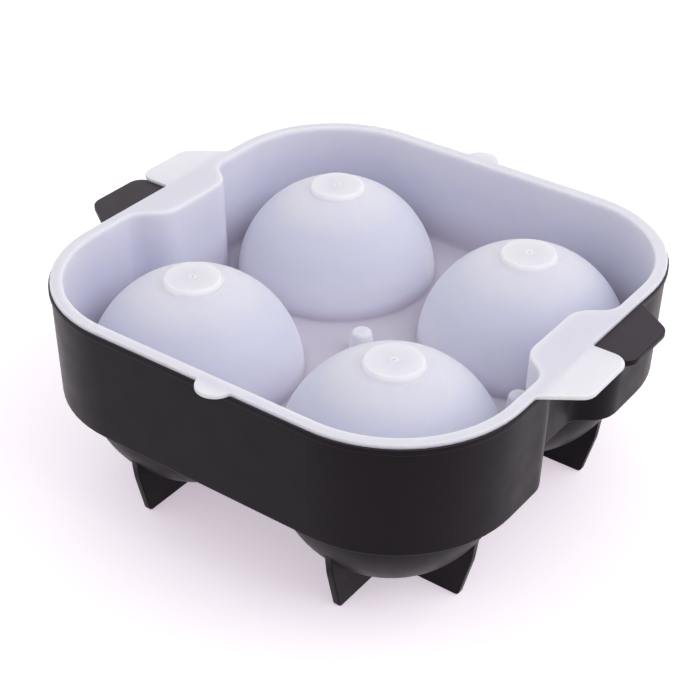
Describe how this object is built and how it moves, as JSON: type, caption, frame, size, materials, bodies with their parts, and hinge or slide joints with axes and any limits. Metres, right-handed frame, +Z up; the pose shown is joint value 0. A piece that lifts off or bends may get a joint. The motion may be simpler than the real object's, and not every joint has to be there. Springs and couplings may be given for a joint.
{
  "type": "ice ball mold",
  "caption": "Ice ball mold: a translucent upper tray of domes with vents nests in a soft black lower tray of cups on crossed feet, with grip tabs at both ends for pulling the two apart.",
  "frame": {"origin": "middle of the box, on the plane that the feet stand on", "axes": "+Z up; +X through the middle of the two grip ends; +Y along the other two sides"},
  "size_m": [0.1792, 0.1634, 0.0734],
  "materials": {
    "black_silicone": "matte",
    "milky_plastic": "satin"
  },
  "bodies": {
    "lower_tray": {"lower_tray": "black_silicone"},
    "upper_tray": {"upper_tray": "milky_plastic"}
  },
  "joints": [
    {"name": "tray_lift", "type": "slide", "parent": "lower_tray", "child": "upper_tray", "axis": [0, 0, 1], "range_m": [0, 0.09]}
  ]
}
